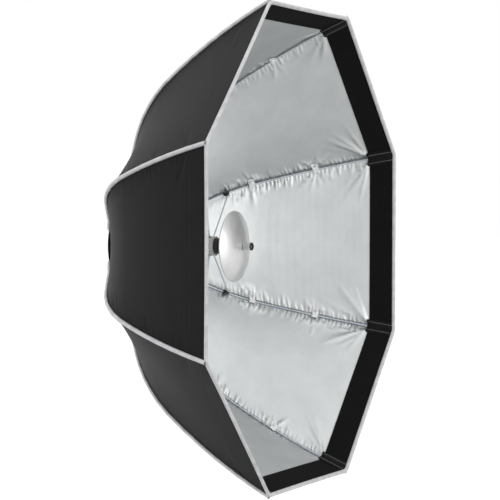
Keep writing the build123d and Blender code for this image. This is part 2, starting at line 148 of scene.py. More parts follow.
# the camera, fitted to the photograph's eight front corners
CAMERA_PLACE = (-3.2223, -1.7389, 0.0862)
CAMERA_AZIMUTH = radians(-65.17)
CAMERA_ELEVATION = radians(1.49)
CAMERA_ROLL = radians(0.12)
CAMERA_LENS = 144.72
CAMERA_SENSOR = 36.0
CAMERA_FAR = 200.0


# ---------------------------------------------------------------- the rib and the cloth on it
def rib_curve(s):
    """Radius, forward and heading of a rib's centre line at each s."""
    heading = np.full_like(s, radians(RIB_HEADING))
    straight = np.minimum(s, RIB_FOOT)
    radius = HINGE_RADIUS + straight * np.cos(heading)
    forward = HINGE_FORWARD + straight * np.sin(heading)
    left = s - straight
    for bend, turn in RIB_ARCS:
        last = (bend, turn) == RIB_ARCS[-1]
        arc = left if last else np.minimum(left, bend * radians(turn))
        ahead = heading + arc / bend
        radius = radius + bend * (np.sin(ahead) - np.sin(heading))
        forward = forward + bend * (np.cos(heading) - np.cos(ahead))
        heading = ahead
        left = left - arc
    return radius, forward, heading


def inside_lift(s):
    """Lift of the cloth's inner face: higher over the knuckle, then close to the rod."""
    ease = np.clip((s - 2 * CLOTH_START) / (CLOTH_SETTLED - 2 * CLOTH_START), 0, 1)
    ease = ease * ease * (3 - 2 * ease)
    return CLOTH_OVER_KNUCKLE + ease * (CLOTH_INSIDE - CLOTH_OVER_KNUCKLE)


def seam_line(s, lift):
    """Radius, forward and heading of the line at that lift over the rib."""
    radius, forward, heading = rib_curve(s)
    return radius + lift * np.sin(heading), forward - lift * np.cos(heading), heading


def half_width(s, lift):
    """Distance x from the rib's plane to the middle of the gore."""
    radius = seam_line(s, lift)[0] + HALF_TAN * CREASE_RADIUS
    x = radius * HALF_TAN * HALF_COS**2
    for _ in range(3):
        x = HALF_TAN * (radius - HALF_TAN * np.sqrt(x * x + CREASE_RADIUS**2))
    return x


SAG_LEAST = 1.0
SAG_HUMPS = [(7.8, 200, 115), (1.2, 400, 90)]


def sag(s):
    """How far the middle of a gore hangs in from the straight line between its two seams."""
    depth = SAG_LEAST
    for most, place, spread in SAG_HUMPS:
        depth = depth + most * np.exp(-(((s - place) / spread) ** 2))
    return depth


def cloth_point(x, s, lift, bump=0.0):
    """Rib-frame points of the sheet at that lift, with bump added along the gore's own normal."""
    radius, forward, heading = seam_line(s, lift)
    middle = half_width(s, lift)
    to_rib = 1 - np.clip(np.abs(x) / middle, 0, 1)
    across = np.sqrt(x * x + CREASE_RADIUS**2) - CREASE_RADIUS
    slope = np.arctan(np.tan(heading) / HALF_COS)
    out = bump - sag(s) * (1 - to_rib**2)
    turned = out * np.sin(slope)
    side = np.tanh(x / CREASE_RADIUS)
    return np.stack(
        [
            x + turned * sin(radians(RIB_STEP / 2)) * side,
            radius - HALF_TAN * across + turned * HALF_COS,
            forward - out * np.cos(slope),
        ],
        axis=-1,
    )


def rib_axes(rib):
    """Unit vectors of the rib's frame in the row frame: x, radius and forward."""
    angle = radians(RIB_STEP * (rib - 0.5))
    return np.array(
        [[-sin(angle), 0, cos(angle)], [cos(angle), 0, sin(angle)], [0, -1, 0]]
    )


def to_row(rib, points):
    """Rib-frame points in millimetres as row-frame points in metres."""
    return points @ rib_axes(rib) * MM


# ---------------------------------------------------------------- how the cloth folds
HINGE = np.array([0, HINGE_RADIUS, HINGE_FORWARD])
TIP_RADIUS, TIP_FORWARD, _ = rib_curve(np.array(RIB_LENGTH))
CHORD = atan2(TIP_FORWARD - HINGE_FORWARD, TIP_RADIUS - HINGE_RADIUS)


def fold_axis(side):
    """Rib-frame direction that the cloth on one side of a rib flattens along."""
    return np.array(
        [
            side * cos(FOLD_TILT),
            -sin(FOLD_TILT) * sin(CHORD),
            sin(FOLD_TILT) * cos(CHORD),
        ]
    )


def fold_depth(points, side):
    """Distance of rib-frame points along the fold axis, from the hinge."""
    return (points - HINGE) @ fold_axis(side)


def strip_edge(s, lift):
    """x at which the part that stays with the rib ends and the part that flattens begins."""
    x = np.full_like(s, FOLD_START)
    for _ in range(10):
        x = x + (FOLD_START - fold_depth(cloth_point(x, s, lift), 1)) * 0.95
    return np.minimum(x, half_width(s, lift))


def fold_with_rib(obj, rib, side):
    """Gives the piece its own copy of its mesh; where the cloth on that side would flatten from is
    worked out but not used.
    """
    axes = rib_axes(rib)
    anchor = (HINGE + FOLD_START * fold_axis(side)) @ axes * MM
    tuple(fold_axis(side) @ axes)
    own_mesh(obj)


# ---------------------------------------------------------------- creases
# start is the distance from the seam and station the s at which a crease begins
Crease = namedtuple("Crease", "start station angle length width height")

PUCKER_FIRST = 64.0
PUCKER_LAST = BAND_START - 14
PUCKER_STEP = (5.5, 9.0)
PUCKER_BESIDE = 2.0
PUCKER_SCATTER = 8
PUCKER_LENGTH = (10, 30)
PUCKER_REACH = 0.7
PUCKER_WIDTH = (1.7, 2.6)
PUCKER_HEIGHT = 2.3
PUCKER_PATCHES = (17, 29, 61)


def seam_puckers(rng):
    """Short puckers across a seam, stronger in patches."""
    phases = rng.uniform(0, 2 * pi, len(PUCKER_PATCHES))
    s = PUCKER_FIRST
    while s < PUCKER_LAST:
        patch = sum(sin(s / wave + p) for wave, p in zip(PUCKER_PATCHES, phases))
        strength = 0.5 + 0.6 * max(0.0, patch / 1.6) * rng.uniform(0.5, 1)
        longest = PUCKER_REACH * float(half_width(np.array(s), CLOTH_INSIDE))
        length = min(rng.uniform(*PUCKER_LENGTH), longest)
        angle = radians(rng.normal(0, PUCKER_SCATTER))
        width = rng.uniform(*PUCKER_WIDTH)
        height = -PUCKER_HEIGHT * strength
        yield Crease(PUCKER_BESIDE, s, angle, length, width, height)
        s += rng.uniform(*PUCKER_STEP)


def fan_creases(rng, start, station, fan, scatter, length, width, height, spread=0.0):
    """Creases that fan out from one place; fan is their angles in degrees."""
    for angle in fan:
        yield Crease(
            start,
            station + angle * spread,
            radians(angle + rng.normal(0, scatter)),
            rng.uniform(*length),
            rng.uniform(*width),
            rng.uniform(*height),
        )


def foot_creases(rng):
    """Long soft creases from the ring, nearly along the rib."""
    for start in np.linspace(8, 20, 3):
        yield Crease(
            start,
            rng.uniform(16, 30),
            radians(rng.uniform(70, 82)),
            rng.uniform(60, 120),
            rng.uniform(3.5, 5.5),
            rng.uniform(-1.3, -0.6),
        )


def make_creases(rng):
    """All creases in the cloth on one side of a rib."""
    creases = list(seam_puckers(rng))
    for station in TAB_STATIONS:
        fan = rng.permutation(np.linspace(-58, 58, 6))
        creases += fan_creases(
            rng, 10.0, station, fan, 9, (16, 44), (2.2, 3.6), (-1.9, -0.6), 1 / 7
        )
    corner = np.linspace(-74, -18, 6)
    creases += fan_creases(
        rng, 9.0, BAND_START - 3, corner, 4, (55, 105), (2.8, 4.4), (-1.9, -0.8)
    )
    return creases + list(foot_creases(rng))


def crease_height(creases, distance, s):
    """Height of the creases at that distance from the seam and at s; each fades out slowly."""
    total = np.zeros(np.broadcast(distance, s).shape)
    for start, station, angle, length, width, height in creases:
        along = (distance - start) * cos(angle) + (s - station) * sin(angle)
        across = (s - station) * cos(angle) - (distance - start) * sin(angle)
        share = np.clip(along / length, 0, 1)
        spread = width * (1 + 0.7 * share)
        total += (
            height * np.sin(pi * share**0.55) ** 1.4 * np.exp(-((across / spread) ** 2))
        )
    return total


RNG = np.random.default_rng(90)
CREASES = {(rib, side): make_creases(RNG) for rib in RIBS for side in (-1, 1)}
SWELLS = {rib: RNG.uniform(-1, 1, 6) for rib in RIBS}
SWELL_HEIGHT = 0.55
FLAT_FRONT = 30.0
FRONT_SHARE = 0.15


def gore_swell(rib, x, s, middle):
    """Slow unevenness of a gore, the same from both of its ribs."""
    gore = np.where(x >= 0, rib, (rib - 2) % 8 + 1)
    place = np.where(x >= 0, np.abs(x) / middle - 1, 1 - np.abs(x) / middle)
    total = np.zeros(np.broadcast(x, s).shape)
    for g in set(np.unique(gore).astype(int)):
        a = SWELLS[g]
        wave = (
            a[0] * np.sin(s / 62 + 3 * a[1] + 1.4 * place)
            + a[2] * np.sin(s / 37 + 4 * a[3] - 2.1 * place)
            + 0.6 * a[4] * np.sin(4.4 * place + 5 * a[5] + s / 90)
        )
        total += np.where(gore == g, SWELL_HEIGHT * wave * (1 - place**2), 0)
    return total


def cloth_bump(rib, x, s, lift, weight):
    """All unevenness of the sheet by a rib; creases count by weight."""
    middle = half_width(s, lift)
    distance = np.abs(x) / HALF_COS
    bump = gore_swell(rib, x, s, middle)
    for side in (-1, 1):
        inside = x * side >= 0
        if inside.any():
            height = crease_height(CREASES[rib, side], distance, s)
            bump = bump + np.where(inside, weight * height, 0)
    fade = np.clip((CLOTH_END - s) / FLAT_FRONT, 0, 1)
    return bump * (FRONT_SHARE + (1 - FRONT_SHARE) * fade)


# ---------------------------------------------------------------- mesh helpers
def grid_quads(rows, columns):
    """Faces of a grid of points, row by row."""
    first = (np.arange(rows - 1)[:, None] * columns + np.arange(columns - 1)).ravel()
    return np.stack(
        [first, first + 1, first + columns + 1, first + columns], 1
    ).tolist()


def make_object(
    name, points, faces, materials, normals=None, uvs=None, face_materials=None
):
    """A smooth mesh object from row-frame points in metres."""
    mesh = bpy.data.meshes.new(name)
    mesh.from_pydata(np.asarray(points).tolist(), [], faces)
    for material in materials:
        mesh.materials.append(material)
    if face_materials is not None:
        mesh.polygons.foreach_set("material_index", face_materials)
    if uvs is not None:
        layer = mesh.uv_layers.new(name="threads")
        corners = np.zeros(len(mesh.loops), np.int32)
        mesh.loops.foreach_get("vertex_index", corners)
        layer.data.foreach_set("uv", np.asarray(uvs)[corners].astype(np.float32).ravel())
    mesh.shade_smooth()
    mesh.update()
    if normals is not None:
        mesh.normals_split_custom_set_from_vertices(np.asarray(normals).tolist())
    obj = bpy.data.objects.new(name, mesh)
    bpy.context.scene.collection.objects.link(obj)
    return obj


def unit(vectors):
    """The vectors at length 1."""
    length = np.linalg.norm(vectors, axis=-1, keepdims=True)
    return vectors / np.maximum(length, 1e-12)


def outward(faces, points, normals):
    """The faces, all turned round if the middle one faces against its normal."""
    middle = faces[len(faces) // 2]
    a, b, c, d = (np.asarray(points)[i] for i in middle[:4])
    facing = np.cross(c - a, d - b) @ np.asarray(normals)[middle[0]]
    return [face[::-1] for face in faces] if facing < 0 else faces


def border_loop(rows, columns):
    """Indices of a grid's border, in order."""
    top = list(range(columns))
    right = [i * columns + columns - 1 for i in range(1, rows)]
    bottom = [(rows - 1) * columns + j for j in range(columns - 2, -1, -1)]
    left = [i * columns for i in range(rows - 2, 0, -1)]
    return top + right + bottom + left


def make_shell(name, outer, inner, outer_normals, inner_normals, uvs, materials):
    """A closed sheet from its two faces, each a grid of points; materials: outer, then inner."""
    rows, columns = outer.shape[:2]
    count = rows * columns
    quads = grid_quads(rows, columns)
    loop = border_loop(rows, columns)
    walls = [[b, a, a + count, b + count] for a, b in zip(loop, loop[1:] + loop[:1])]
    back = [[i + count for i in quad[::-1]] for quad in quads]
    points = np.concatenate([outer.reshape(-1, 3), inner.reshape(-1, 3)])
    normals = np.concatenate(
        [outer_normals.reshape(-1, 3), inner_normals.reshape(-1, 3)]
    )
    faces = outward(quads + back + walls, points, normals)
    index = [0] * len(quads) + [1] * len(back) + [0] * len(walls)
    flat = uvs.reshape(-1, 2)
    return make_object(
        name, points, faces, materials, normals, np.concatenate([flat, flat]), index
    )


def make_loft(name, sections, materials, uvs=None):
    """A closed solid from a row of closed sections."""
    rows, columns = sections.shape[:2]
    around = np.roll(sections, -1, axis=1) - np.roll(sections, 1, axis=1)
    normals = unit(np.cross(around, np.gradient(sections, axis=0)))
    centre = sections.mean(axis=1, keepdims=True)
    outwards = (sections - centre)[rows // 2] * normals[rows // 2]
    if outwards.sum() < 0:
        normals = -normals
    faces = []
    for i in range(0, (rows - 1) * columns, columns):
        for j in range(columns):
            k = (j + 1) % columns
            faces.append([i + j, i + k, i + columns + k, i + columns + j])
    points = sections.reshape(-1, 3)
    flat_normals = normals.reshape(-1, 3)
    turned = outward(faces, points, flat_normals)
    first = list(range(columns))
    last = [(rows - 1) * columns + j for j in range(columns)]
    caps = [first[::-1], last] if turned is faces else [first, last[::-1]]
    return make_object(name, points, turned + caps, materials, flat_normals, uvs)


def lathe_sections(profile, count):
    """Sections of a turned solid: profile is (radius, height) pairs, about +Z."""
    angles = np.linspace(0, 2 * pi, count, endpoint=False)
    return np.array(
        [[(r * cos(a), r * sin(a), h) for a in angles] for r, h in profile]
    )


# ---------------------------------------------------------------- materials
def add(tree, kind, inputs=None, **settings):
    """A node with its settings, and its inputs linked or set."""
    node = tree.nodes.new(kind)
    for key, value in settings.items():
        setattr(node, key, value)
    for key, value in (inputs or {}).items():
        if isinstance(value, bpy.types.NodeSocket):
            tree.links.new(value, node.inputs[key])
        else:
            node.inputs[key].default_value = value
    return node


def start_material(name, **values):
    """A material with one Principled shader, and the shader's plain values."""
    material = bpy.data.materials.new(name)
    material.use_nodes = True
    tree = material.node_tree
    shader = tree.nodes["Principled BSDF"]
    for key, value in values.items():
        shader.inputs[key.replace("_", " ")].default_value = value
    return material, tree, shader


def compute(tree, operation, *values):
    """Output of one maths node; the values are numbers or sockets."""
    node = add(tree, "ShaderNodeMath", dict(enumerate(values)), operation=operation)
    return node.outputs[0]


def blotches(tree, vector, scale, detail=3.0, rough=0.55):
    """Soft noise, from 0 to 1."""
    return add(
        tree,
        "ShaderNodeTexNoise",
        {"Vector": vector, "Scale": scale, "Detail": detail, "Roughness": rough},
    ).outputs["Fac"]


def shades(tree, factor, dark, light, low=0.35, high=0.65):
    """Colour between two shades as factor goes from low to high."""
    spread = add(
        tree,
        "ShaderNodeMapRange",
        {"Value": factor, "From Min": low, "From Max": high},
    ).outputs["Result"]
    mix = add(
        tree,
        "ShaderNodeMix",
        {"Factor": spread, "A": (*dark, 1), "B": (*light, 1)},
        data_type="RGBA",
    )
    return mix.outputs["Result"]


def ease_between(tree, value, ends, start, end):
    """From start to end, smoothly, as value goes from one of the two ends to the other."""
    return add(
        tree,
        "ShaderNodeMapRange",
        {
            "Value": value,
            "From Min": ends[0],
            "From Max": ends[1],
            "To Min": start,
            "To Max": end,
        },
        interpolation_type="SMOOTHSTEP",
    ).outputs["Result"]


def set_bump(tree, shader, height, distance, strength=1.0):
    """Distance is the height, in metres, of a height of 1."""
    bump = add(
        tree,
        "ShaderNodeBump",
        {"Height": height, "Distance": distance, "Strength": strength},
    )
    tree.links.new(bump.outputs["Normal"], shader.inputs["Normal"])


def thread_axes(tree):
    """Distances along and across the threads, in millimetres, from the piece's own map."""
    uv = add(tree, "ShaderNodeUVMap", uv_map="threads").outputs["UV"]
    parts = add(tree, "ShaderNodeSeparateXYZ", {"Vector": uv})
    return uv, parts.outputs["X"], parts.outputs["Y"]


def wave_of(tree, distance, pitch):
    """A sine of that pitch along a distance."""
    return compute(tree, "SINE", compute(tree, "MULTIPLY", distance, 2 * pi / pitch))


def black_cloth():
    """Coated nylon outside: fine plain weave with a heavier thread every few millimetres."""
    material, tree, shader = start_material(
        "black_cloth", Sheen_Weight=0.01, Sheen_Roughness=0.45, Specular_IOR_Level=0.05
    )
    uv, along, across = thread_axes(tree)
    weave = compute(
        tree, "MULTIPLY", wave_of(tree, along, 1.1), wave_of(tree, across, 1.1)
    )
    heavy = compute(
        tree, "MAXIMUM", wave_of(tree, along, 4.4), wave_of(tree, across, 4.4)
    )
    heavy = compute(tree, "POWER", compute(tree, "MAXIMUM", heavy, 0.0), 6.0)
    cloud = blotches(tree, uv, 0.03, 4.0)
    colour = shades(tree, cloud, (0.0065, 0.0065, 0.0072), (0.0080, 0.0080, 0.0088))
    tree.links.new(colour, shader.inputs["Base Color"])
    rough = compute(tree, "MULTIPLY_ADD", cloud, 0.06, 0.45)
    tree.links.new(rough, shader.inputs["Roughness"])
    height = compute(tree, "MULTIPLY_ADD", heavy, 0.6, weave)
    for line in HEM_LINES:
        off_line = compute(tree, "ABSOLUTE", compute(tree, "SUBTRACT", across, line))
        groove = ease_between(tree, off_line, (0.2, 1.4), -6.0, 0.0)
        height = compute(tree, "ADD", height, groove)
    set_bump(tree, shader, height, 0.00009)
    return material


def silver_cloth():
    """Silver coating inside: satin, with fine ribs across and a faint grid."""
    material, tree, shader = start_material("silver_cloth", Metallic=0.94)
    uv, along, across = thread_axes(tree)
    cloud = blotches(tree, uv, 0.018, 5.0, 0.6)
    colour = shades(tree, cloud, (0.535, 0.553, 0.553), (0.585, 0.603, 0.603))
    tree.links.new(colour, shader.inputs["Base Color"])
    grain = blotches(tree, uv, 0.35, 3.0, 0.6)
    rough = compute(tree, "MULTIPLY_ADD", grain, 0.20, 0.30)
    tree.links.new(rough, shader.inputs["Roughness"])
    ribs = wave_of(tree, across, 2.3)
    grid = compute(tree, "POWER", compute(tree, "MAXIMUM", wave_of(tree, along, 3.1), 0.0), 3.0)
    lines = compute(tree, "MULTIPLY_ADD", grid, 0.7, ribs)
    crumple = blotches(tree, uv, 0.12, 4.0, 0.65)
    height = compute(tree, "MULTIPLY_ADD", crumple, 2.4, lines)
    set_bump(tree, shader, height, 0.00007)
    return material


def loop_band():
    """Brushed loop side of hook-and-loop tape."""
    material, tree, shader = start_material(
        "loop_band", Roughness=0.95, Specular_IOR_Level=0.08
    )
    uv = thread_axes(tree)[0]
    fuzz = blotches(tree, uv, 0.9, 5.0, 0.75)
    loops = add(
        tree, "ShaderNodeTexVoronoi", {"Vector": uv, "Scale": 0.8}
    ).outputs["Distance"]
    colour = shades(tree, fuzz, (0.004, 0.004, 0.004), (0.009, 0.009, 0.0095))
    tree.links.new(colour, shader.inputs["Base Color"])
    height = compute(tree, "ADD", fuzz, loops)
    set_bump(tree, shader, height, 0.0005, 0.8)
    return material


def pocket_cloth():
    """Black webbing of the corner pockets, ribbed across."""
    material, tree, shader = start_material(
        "pocket_cloth", Roughness=0.72, Specular_IOR_Level=0.12
    )
    uv, along, across = thread_axes(tree)
    cord = wave_of(tree, along, 1.5)
    weft = wave_of(tree, across, 0.9)
    cloud = blotches(tree, uv, 0.15)
    colour = shades(tree, cloud, (0.005, 0.005, 0.0055), (0.010, 0.010, 0.0105))
    tree.links.new(colour, shader.inputs["Base Color"])
    height = compute(tree, "MULTIPLY_ADD", weft, 0.4, cord)
    set_bump(tree, shader, height, 0.00018)
    return material


def binding_tape():
    """Pale grey ribbed tape: slanted ribs, darker in their grooves as painted shade, and soft
    soiling along it.
    """
    material, tree, shader = start_material(
        "binding_tape", Roughness=0.6, Sheen_Weight=0.15, Sheen_Roughness=0.4
    )
    uv, along, across = thread_axes(tree)
    slant = compute(tree, "ADD", across, compute(tree, "MULTIPLY", along, 0.75))
    ribs = wave_of(tree, slant, 2.6)
    cloud = blotches(tree, uv, 0.06, 4.0)
    # painted shade: the ribs darken the colour in their grooves; the cloud adds soiling
    groove = compute(tree, "MULTIPLY_ADD", ribs, 0.22, cloud)
    colour = shades(tree, groove, (0.40, 0.40, 0.415), (0.66, 0.66, 0.67), 0.2, 0.8)
    tree.links.new(colour, shader.inputs["Base Color"])
    set_bump(tree, shader, ribs, 0.00022)
    return material


def overcast_edge():
    """Raw silver edge overcast with dark thread."""
    material, tree, shader = start_material("overcast_edge", Metallic=0.6, Roughness=0.5)
    uv, along, across = thread_axes(tree)
    slant = compute(tree, "ADD", along, compute(tree, "MULTIPLY", across, 0.8))
    thread = wave_of(tree, slant, 3.4)
    colour = shades(tree, thread, (0.50, 0.515, 0.52), (0.07, 0.075, 0.085), 0.25, 0.75)
    tree.links.new(colour, shader.inputs["Base Color"])
    set_bump(tree, shader, thread, 0.0003)
    return material


def plain_weave(name, shade):
    """Plain woven cotton of one shade of grey."""
    material, tree, shader = start_material(name, Roughness=0.8)
    uv, along, across = thread_axes(tree)
    weave = compute(
        tree, "MULTIPLY", wave_of(tree, along, 0.8), wave_of(tree, across, 0.8)
    )
    cloud = blotches(tree, uv, 0.2)
    light = (shade, shade, shade)
    dark = (0.82 * shade, 0.83 * shade, 0.85 * shade)
    tree.links.new(shades(tree, cloud, dark, light), shader.inputs["Base Color"])
    set_bump(tree, shader, weave, 0.00012)
    return material


def object_points(tree):
    """Each point's place in the piece's own frame, in metres."""
    return add(tree, "ShaderNodeTexCoord").outputs["Object"]


def moulded_plastic(name, dark, light, roughness=0.45):
    """Moulded plastic with a fine spark-eroded texture."""
    material, tree, shader = start_material(name, Specular_IOR_Level=0.45)
    points = object_points(tree)
    cloud = blotches(tree, points, 90.0)
    tree.links.new(shades(tree, cloud, dark, light), shader.inputs["Base Color"])
    grain = blotches(tree, points, 1600.0, 2.0)
    rough = compute(tree, "MULTIPLY_ADD", cloud, 0.2, roughness - 0.1)
    tree.links.new(rough, shader.inputs["Roughness"])
    set_bump(tree, shader, grain, 0.00012)
    return material


def worked_metal(name, dark, light, roughness):
    """Bare metal, slightly cloudy, with fine scratches."""
    material, tree, shader = start_material(name, Metallic=1.0)
    points = object_points(tree)
    cloud = blotches(tree, points, 60.0, 4.0)
    tree.links.new(shades(tree, cloud, dark, light), shader.inputs["Base Color"])
    scratches = blotches(tree, points, 900.0, 3.0, 0.7)
    rough = compute(tree, "MULTIPLY_ADD", scratches, 0.22, roughness - 0.11)
    tree.links.new(rough, shader.inputs["Roughness"])
    set_bump(tree, shader, scratches, 0.00003)
    return material


def floor_with_painted_shade():
    """Pale floor with painted shade: grey round its middle, under and in front of the object,
    white far away, with hardly visible blotches.
    """
    material, tree, shader = start_material("floor_with_painted_shade", Roughness=0.9)
    points = object_points(tree)
    flat = add(
        tree, "ShaderNodeVectorMath", {0: points, 1: (1, 1, 0)}, operation="MULTIPLY"
    ).outputs["Vector"]
    away = add(
        tree,
        "ShaderNodeVectorMath",
        {0: flat, 1: FLOOR_MIDDLE},
        operation="DISTANCE",
    ).outputs["Value"]
    # painted shade: grey near the floor's middle and white far from it, with faint blotches
    shade_by_distance_and_mottle = compute(tree, "MULTIPLY_ADD", blotches(tree, points, 1.2), 0.15, away)
    colour = shades(tree, shade_by_distance_and_mottle, (0.70, 0.70, 0.70), (0.97, 0.97, 0.97), *FLOOR_EASE)
    tree.links.new(colour, shader.inputs["Base Color"])
    return material


BLACK = black_cloth()
SILVER = silver_cloth()
LOOP = loop_band()
WEBBING = pocket_cloth()
TAPE = binding_tape()
COTTON = plain_weave("white_cotton", 0.93)
OVERCAST = overcast_edge()
THREAD = plain_weave("pale_thread", 0.34)
PLASTIC = moulded_plastic("black_plastic", (0.011, 0.011, 0.012), (0.02, 0.02, 0.021))
GREY = moulded_plastic("grey_plastic", (0.56, 0.555, 0.53), (0.68, 0.675, 0.65), 0.35)
RING = moulded_plastic("ring_black", (0.014, 0.014, 0.015), (0.026, 0.026, 0.028), 0.5)
STEEL = worked_metal("steel", (0.5, 0.5, 0.5), (0.66, 0.66, 0.65), 0.3)
ROD = worked_metal("rod_steel", (0.40, 0.44, 0.48), (0.56, 0.60, 0.64), 0.34)
DISH = worked_metal("dish_silver", (0.60, 0.605, 0.60), (0.63, 0.635, 0.63), 0.36)
BRIGHT = worked_metal("bright_metal", (0.68, 0.68, 0.67), (0.8, 0.8, 0.79), 0.26)

CAD_FINISH = {
    "black_plastic": PLASTIC,
    "grey_plastic": GREY,
    "ring_black": RING,
    "steel": STEEL,
    "rod_steel": ROD,
    "dish_silver": DISH,
    "bright_metal": BRIGHT,
}


def finish_cad_nodes():
    """Each CAD node that stays gets the finish of its slot in the record."""
    for part in frame["record"]["subparts"]:
        finish = CAD_FINISH.get(part.get("material_slot"))
        node = frame["nodes"].get(part["node"])
        if finish is not None and node is not None:
            node.data.materials.clear()
            node.data.materials.append(finish)


# ---------------------------------------------------------------- pieces of the canopy
NORMAL_STEP = 0.35


def sheet_grid(rib, x, s, lift, weight, extra=None):
    """Points, in the row frame, and outward normals of the sheet at that lift."""
    step = NORMAL_STEP

    def at(x, s):
        bump = cloth_bump(rib, x, s, lift, weight)
        if extra is not None:
            bump = bump + extra(x, s)
        return cloth_point(x, s, inside_lift(s) + lift, bump)

    points = at(x, s)
    along = at(x, s + step) - at(x, s - step)
    across = at(x + step, s) - at(x - step, s)
    normals = unit(np.cross(across, along))
    if normals[..., 1].mean() < 0:
        normals = -normals
    axes = rib_axes(rib)
    return points @ axes * MM, normals @ axes


def strip_columns(s, side, lift, count):
    """x of a strip's points: side 0 is the strip on the rib, and -1 and 1 those beside it."""
    edge = strip_edge(s, lift)
    share = np.linspace(0, 1, count)
    if side == 0:
        return edge[:, None] * (2 * share - 1)
    x = edge[:, None] + (half_width(s, lift) - edge)[:, None] * share
    return x if side > 0 else -x[:, ::-1]


def first_row():
    """Where the strips beside a rib begin, as wide as a thread."""
    s = np.linspace(CLOTH_START, CLOTH_SETTLED - 2, 400)
    lift = inside_lift(s)
    room = half_width(s, lift) - strip_edge(s, lift)
    return float(s[np.argmax(room > THREAD_WIDTH)])


THREAD_WIDTH = 0.35
SIDE_START = first_row()
STRIP_NAMES = {-1: "left", 0: "middle", 1: "right"}


def flat_size(points):
    """Width, length and area of a grid of points laid flat, in metres."""
    rows = np.linalg.norm(np.diff(points, axis=0), axis=2)
    columns = np.linalg.norm(np.diff(points, axis=1), axis=2)
    width = columns.sum(axis=1)
    length = float(rows.sum(axis=0).max())
    step = rows.mean(axis=1)
    area = float(((width[1:] + width[:-1]) / 2 * step).sum())
    return float(width.max()), length, area


def make_canopy_strip(rib, side):
    """One strip of the canopy: black cloth outside, silver inside."""
    start = CLOTH_START if side == 0 else SIDE_START
    s = np.linspace(start, CLOTH_END, 300)
    count = 17 if side == 0 else 23
    x = strip_columns(s, side, inside_lift(s), count)
    x_outside = strip_columns(s, side, inside_lift(s) + CLOTH_THICKNESS, count)
    grid_s = np.broadcast_to(s[:, None], x.shape)
    outer, outer_normals = sheet_grid(
        rib, x_outside, grid_s, CLOTH_THICKNESS, OUTSIDE_CREASED
    )
    inner, inner_normals = sheet_grid(rib, x, grid_s, 0.0, 1.0)
    uvs = np.stack([x / HALF_COS, grid_s], axis=-1)
    name = f"canopy_{rib}_{STRIP_NAMES[side]}"
    strip = make_shell(
        name, outer, inner, outer_normals, -inner_normals, uvs, [BLACK, SILVER]
    )
    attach(strip, f"rib_{rib}")
    if side:
        fold_with_rib(strip, rib, side)
    else:
        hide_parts(f"canopy_panel_{rib}")
    smooth = to_row(rib, cloth_point(x, grid_s, inside_lift(grid_s)))
    return strip, flat_size(smooth)


BULGE_HEIGHT = 4.9
BULGE_WIDTH = 6.5
BULGE_AT_FRONT = 0.35


def rod_bulge(x, s):
    """How far the band is pushed in where it passes inside a rib's tip, less at the front edge."""
    ease = np.clip((CLOTH_END - 2 - s) / 12, 0, 1)
    share = BULGE_AT_FRONT + (1 - BULGE_AT_FRONT) * ease
    return -BULGE_HEIGHT * np.exp(-((x / BULGE_WIDTH) ** 2)) * share


def make_band_strip(rib, side):
    """One strip of the loop band inside the front edge."""
    s = np.linspace(BAND_START, CLOTH_END - 1, 25)
    count = 41 if side == 0 else 31
    x = strip_columns(s, side, inside_lift(s) + BAND_INNER, count)
    x_outside = strip_columns(s, side, inside_lift(s) + BAND_OUTER, count)
    grid_s = np.broadcast_to(s[:, None], x.shape)
    outer, outer_normals = sheet_grid(
        rib, x_outside, grid_s, BAND_OUTER, BAND_CREASED, rod_bulge
    )
    inner, inner_normals = sheet_grid(
        rib, x, grid_s, BAND_INNER, BAND_CREASED, rod_bulge
    )
    uvs = np.stack([x / HALF_COS, grid_s], axis=-1)
    name = f"front_band_{rib}_{STRIP_NAMES[side]}"
    band = make_shell(
        name, outer, inner, outer_normals, -inner_normals, uvs, [LOOP, LOOP]
    )
    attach(band, f"rib_{rib}")
    if side:
        fold_with_rib(band, rib, side)
    else:
        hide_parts(f"edge_band_{rib}")
    return band


# outline of the front binding: distance past the cloth's end, and lift
RIM_SECTION = [
    (-2.4, 3.9),
    (-2.3, 4.8),
    (-1.4, 5.5),
    (0.0, 5.7),
    (1.3, 5.3),
    (2.3, 4.3),
    (2.8, 3.0),
    (2.7, 1.6),
    (1.9, 0.4),
    (0.2, -0.5),
    (-1.9, -0.8),
    (-3.5, -0.4),
    (-4.1, 0.5),
    (-3.9, 1.6),
]
RIM_PINCH = 0.35
RIM_PINCH_BELOW = 2.0


def make_rim_strip(rib, side):
    """One strip of the binding that wraps the front edge."""
    count = 29 if side == 0 else 27
    past, lifts = np.array(RIM_SECTION).T
    x = strip_columns(CLOTH_END + past, side, lifts, count).T
    s = CLOTH_END + past[None, :] + np.zeros((count, 1))
    pinch = RIM_PINCH * rod_bulge(x, s) * (lifts < RIM_PINCH_BELOW)
    sections = to_row(rib, cloth_point(x, s, lifts + pinch))
    sides = np.hypot(
        np.diff(past, prepend=past[-1]), np.diff(lifts, prepend=lifts[-1])
    )
    girth = np.cumsum(sides)
    uvs = np.stack([girth + np.zeros((count, 1)), x / HALF_COS], axis=-1)
    rim = make_loft(
        f"rim_binding_{rib}_{STRIP_NAMES[side]}", sections, [TAPE], uvs.reshape(-1, 2)
    )
    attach(rim, f"rib_{rib}")
    if side:
        fold_with_rib(rim, rib, side)
    return rim


# outline of a seam's binding: x, and distance from the rib's centre line
SEAM_SECTION = [
    (-3.2, 3.4),
    (-3.3, 5.0),
    (-3.0, 6.9),
    (-2.1, 8.0),
    (-0.7, 8.4),
    (0.7, 8.4),
    (2.1, 8.0),
    (3.0, 6.9),
    (3.3, 5.0),
    (3.2, 3.4),
]
SEAM_RIPPLE = 0.18


